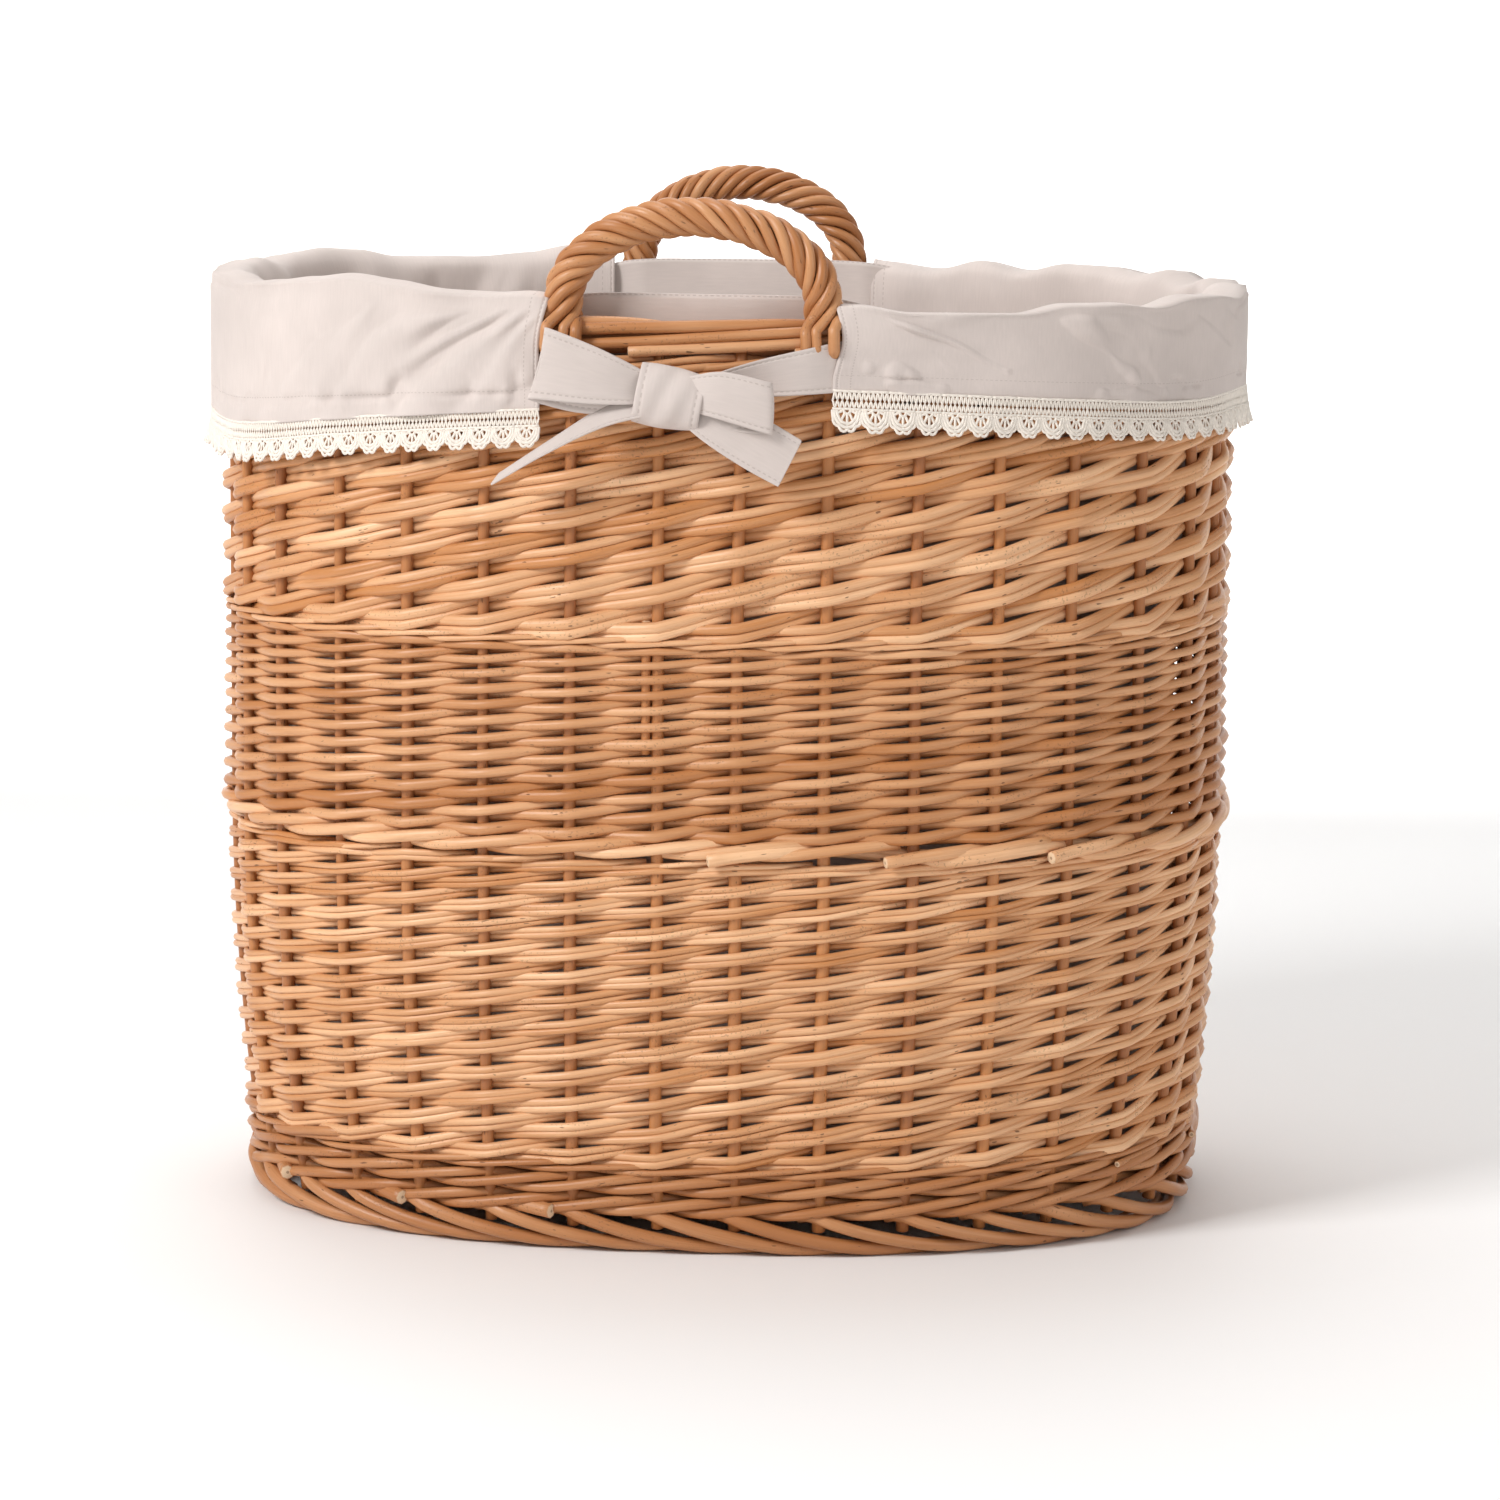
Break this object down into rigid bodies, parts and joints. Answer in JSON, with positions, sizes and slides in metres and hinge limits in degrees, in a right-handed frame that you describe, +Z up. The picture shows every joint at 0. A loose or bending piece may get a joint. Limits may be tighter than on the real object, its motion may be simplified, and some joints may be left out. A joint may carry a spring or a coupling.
{
  "type": "laundry basket",
  "caption": "Tall oval woven willow laundry basket with two twisted rope handles and a lift-out cotton liner that folds over the rim, edged with lace and tied in bows.",
  "frame": {"origin": "on the floor, in the middle of the oval", "axes": "+Z up, +X along the wide side, -Y the front"},
  "size_m": [0.535, 0.4056, 0.524],
  "materials": {
    "weave_willow": "satin peeled willow rods",
    "wale_willow": "satin peeled willow rods",
    "border_willow": "satin thick willow rods",
    "stake_willow": "satin, redder and darker",
    "base_willow": "satin willow",
    "handle_willow": "glossy twisted rods",
    "liner_cotton": "smooth pinkish beige cotton",
    "lace_cotton": "cream crochet lace"
  },
  "bodies": {
    "basket": {"lower_weave": "weave_willow", "middle_weave": "weave_willow", "upper_weave": "weave_willow", "bottom_wale": "wale_willow", "middle_wale": "wale_willow", "upper_wale": "wale_willow", "foot_border": "border_willow", "top_border": "border_willow", "stake_01": "stake_willow", "stake_02": "stake_willow", "stake_03": "stake_willow", "stake_04": "stake_willow", "stake_05": "stake_willow", "stake_06": "stake_willow", "stake_07": "stake_willow", "stake_08": "stake_willow", "stake_09": "stake_willow", "stake_10": "stake_willow", "stake_11": "stake_willow", "stake_12": "stake_willow", "stake_13": "stake_willow", "stake_14": "stake_willow", "stake_15": "stake_willow", "stake_16": "stake_willow", "stake_17": "stake_willow", "stake_18": "stake_willow", "stake_19": "stake_willow", "stake_20": "stake_willow", "stake_21": "stake_willow", "stake_22": "stake_willow", "stake_23": "stake_willow", "stake_24": "stake_willow", "stake_25": "stake_willow", "stake_26": "stake_willow", "stake_27": "stake_willow", "stake_28": "stake_willow", "stake_29": "stake_willow", "stake_30": "stake_willow", "stake_31": "stake_willow", "stake_32": "stake_willow", "stake_33": "stake_willow", "stake_34": "stake_willow", "base_weave": "base_willow", "base_sticks": "base_willow", "handle_front": "handle_willow", "handle_back": "handle_willow"},
    "liner": {"liner_bag": "liner_cotton", "liner_cuff_left": "liner_cotton", "liner_cuff_right": "liner_cotton", "edge_binding_front": "liner_cotton", "edge_binding_back": "liner_cotton", "front_strap_left": "liner_cotton", "front_strap_right": "liner_cotton", "back_strap_left": "liner_cotton", "back_strap_right": "liner_cotton", "front_bow": "liner_cotton", "back_bow": "liner_cotton", "lace_trim_left": "lace_cotton", "lace_trim_right": "lace_cotton"}
  },
  "joints": [
    {"name": "liner_lift", "type": "slide", "parent": "basket", "child": "liner", "axis": [0, 0, 1], "range_m": [0, 0.5]}
  ]
}
